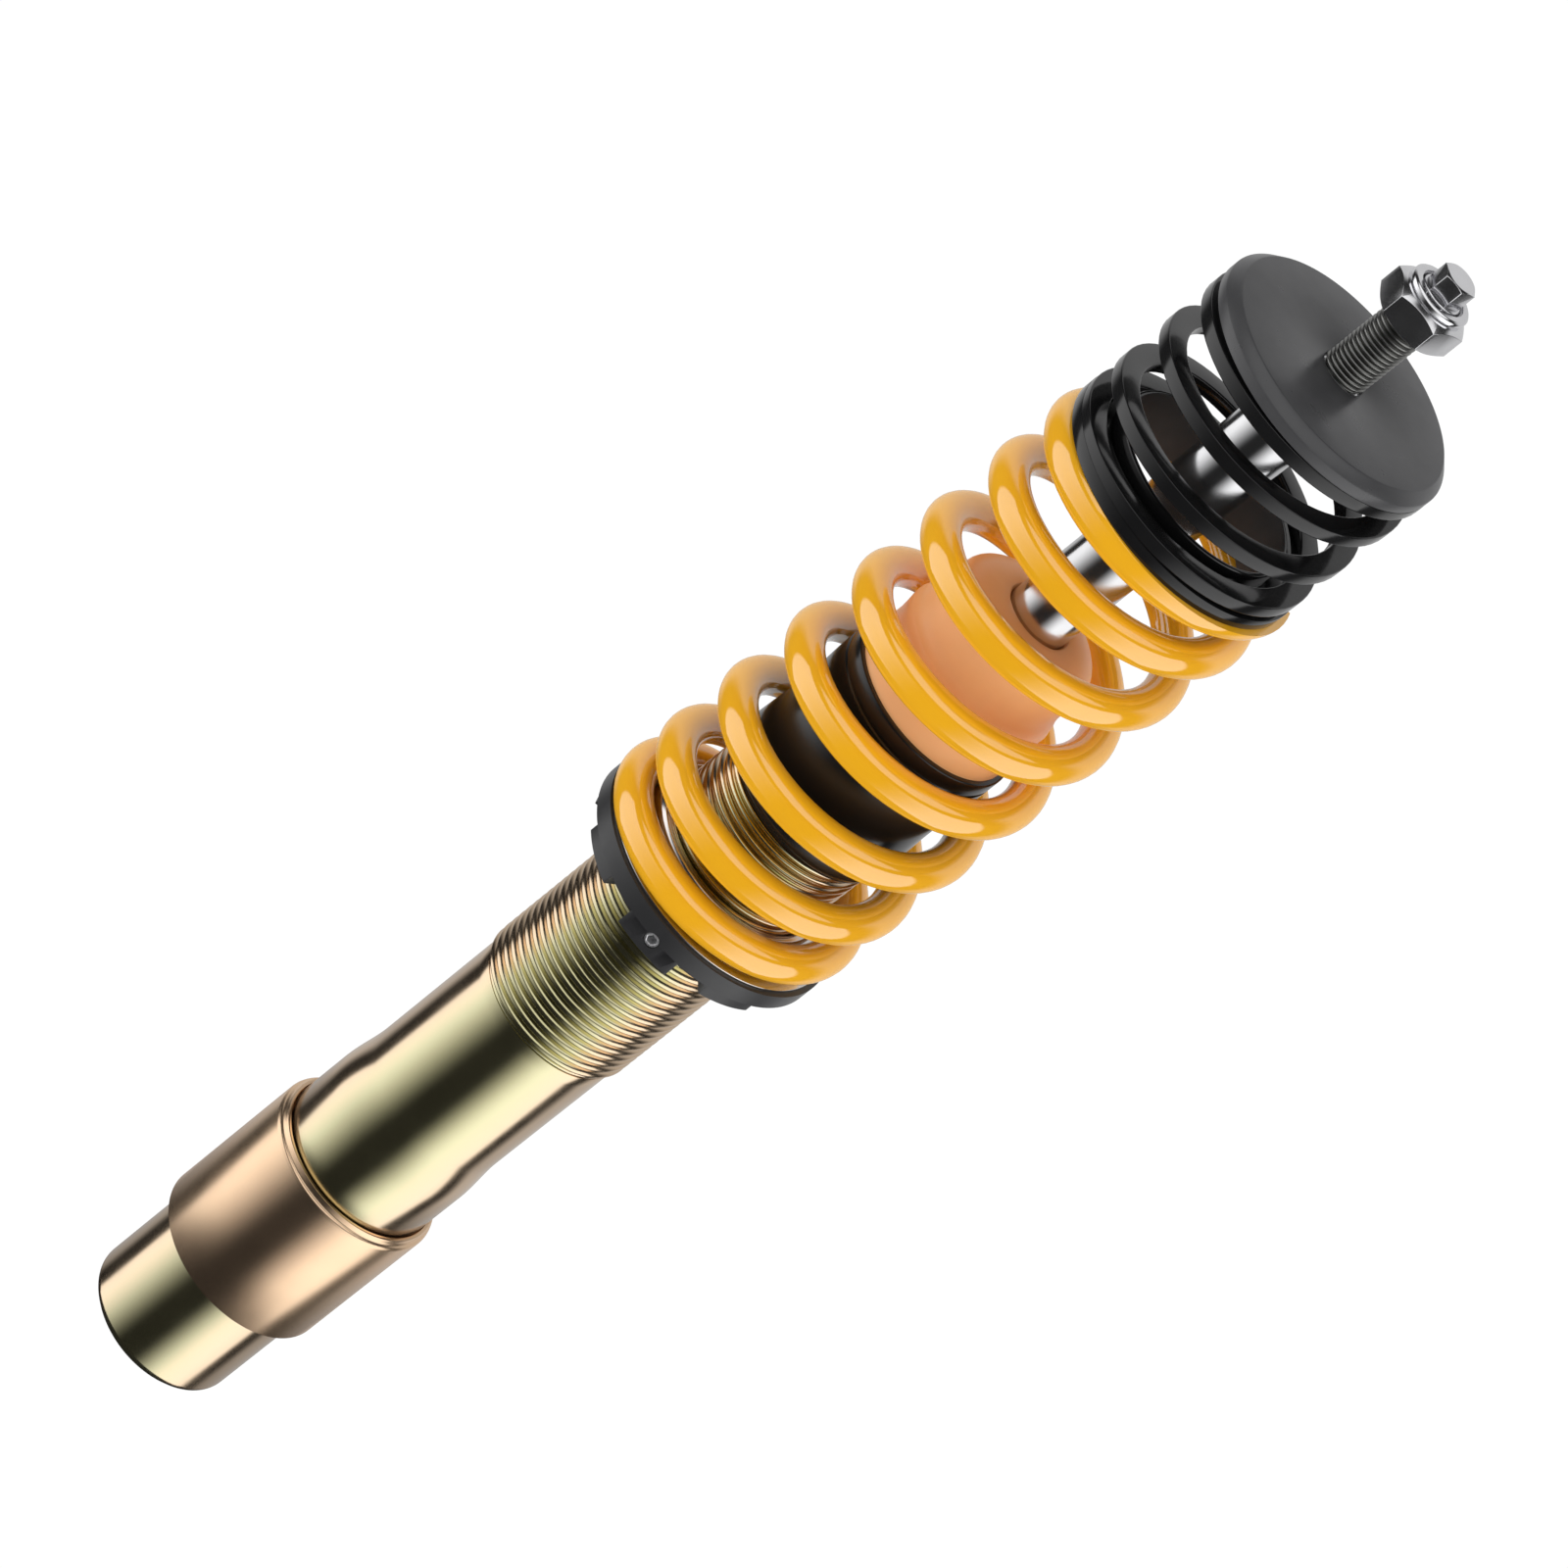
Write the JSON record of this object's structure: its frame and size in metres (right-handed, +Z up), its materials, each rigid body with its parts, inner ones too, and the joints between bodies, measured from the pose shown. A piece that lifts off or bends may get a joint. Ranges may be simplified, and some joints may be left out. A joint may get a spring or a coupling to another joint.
{
  "type": "coilover strut",
  "caption": "Front coilover strut: threaded damper with clamp sleeve, height-adjustable spring seat, yellow main spring, black helper spring, bump stop and upper spring plate.",
  "frame": {"origin": "centre of the strut tube's lower end, where its base face would stand", "axes": "+Z up the strut's axis from the tube to the stud; -Y is the side that the collar's set screw faces"},
  "size_m": [0.0837, 0.0836, 0.5309],
  "materials": {
    "zinc_yellow_tube": "yellow-chromated zinc plating, smooth, slightly iridescent",
    "copper_sleeve": "turned steel with a copper-tinted plating",
    "sintered_iron": "sintered, oiled",
    "plain_steel": "machined steel, oiled",
    "bronze": "plain bearing bronze",
    "black_rubber": "nitrile rubber",
    "black_cup": "black, satin gloss",
    "orange_foam": "closed-skin polyurethane foam, matt",
    "chromed_steel": "hard chrome, polished",
    "dark_plastic": "bronze-filled PTFE and nylon, dark",
    "zinc_nut": "bright zinc plating",
    "black_plate": "black powder coat, satin",
    "bright_steel": "polished steel",
    "yellow_paint": "glossy yellow powder coat",
    "black_anodised": "black anodised, satin",
    "black_spring": "black coating, satin gloss"
  },
  "bodies": {
    "strut": {"strut_tube": "zinc_yellow_tube", "clamp_sleeve": "copper_sleeve", "base_cap": "zinc_yellow_tube", "base_valve": "sintered_iron", "pressure_tube": "plain_steel", "rod_guide": "sintered_iron", "guide_bush": "bronze", "rod_seal": "black_rubber", "seal_o_ring": "black_rubber", "gland_nut": "plain_steel", "wiper_seal": "black_rubber", "bump_stop_cup": "black_cup", "bump_stop": "orange_foam"},
    "rod": {"piston_rod": "chromed_steel", "piston": "sintered_iron", "piston_band": "dark_plastic", "compression_shims": "plain_steel", "rebound_shims": "plain_steel", "piston_nut": "plain_steel", "rebound_stop": "plain_steel", "rebound_buffer": "black_rubber", "top_nut": "zinc_nut", "locking_insert": "dark_plastic"},
    "top_plate": {"upper_spring_plate": "black_plate", "plate_bush": "bronze"},
    "seat": {"spring_seat_ring": "bright_steel", "main_spring": "yellow_paint"},
    "collar": {"adjuster_collar": "black_anodised", "set_screw": "zinc_nut", "lock_pad": "bronze"},
    "ring": {"coupling_ring": "black_anodised", "helper_spring": "black_spring"}
  },
  "joints": [
    {"name": "damper_stroke", "type": "slide", "parent": "strut", "child": "rod", "axis": [0, 0, 1], "range_m": [-0.1075, 0], "stiffness_N_per_m": 25000, "springref_m": 0.005, "deforming": ["helper_spring"]},
    {"name": "plate_spin", "type": "hinge", "parent": "rod", "child": "top_plate", "pos_m": [0, 0, 0.4825], "axis": [0, 0, 1], "continuous": true},
    {"name": "seat_height", "type": "slide", "parent": "strut", "child": "seat", "axis": [0, 0, 1], "range_m": [-0.05, 0]},
    {"name": "collar_spin", "type": "hinge", "parent": "seat", "child": "collar", "pos_m": [0, 0, 0.2415], "axis": [0, 0, 1], "range_deg": [-6000, 0]},
    {"name": "ring_slide", "type": "slide", "parent": "seat", "child": "ring", "axis": [0, 0, 1], "range_m": [-0.075, 0], "deforming": ["main_spring"]}
  ],
  "couplings": [
    {"joint": "seat_height", "follows": "collar_spin", "m_per_rad": 0.00047746},
    {"joint": "ring_slide", "follows": "damper_stroke", "ratio": 0.694}
  ]
}
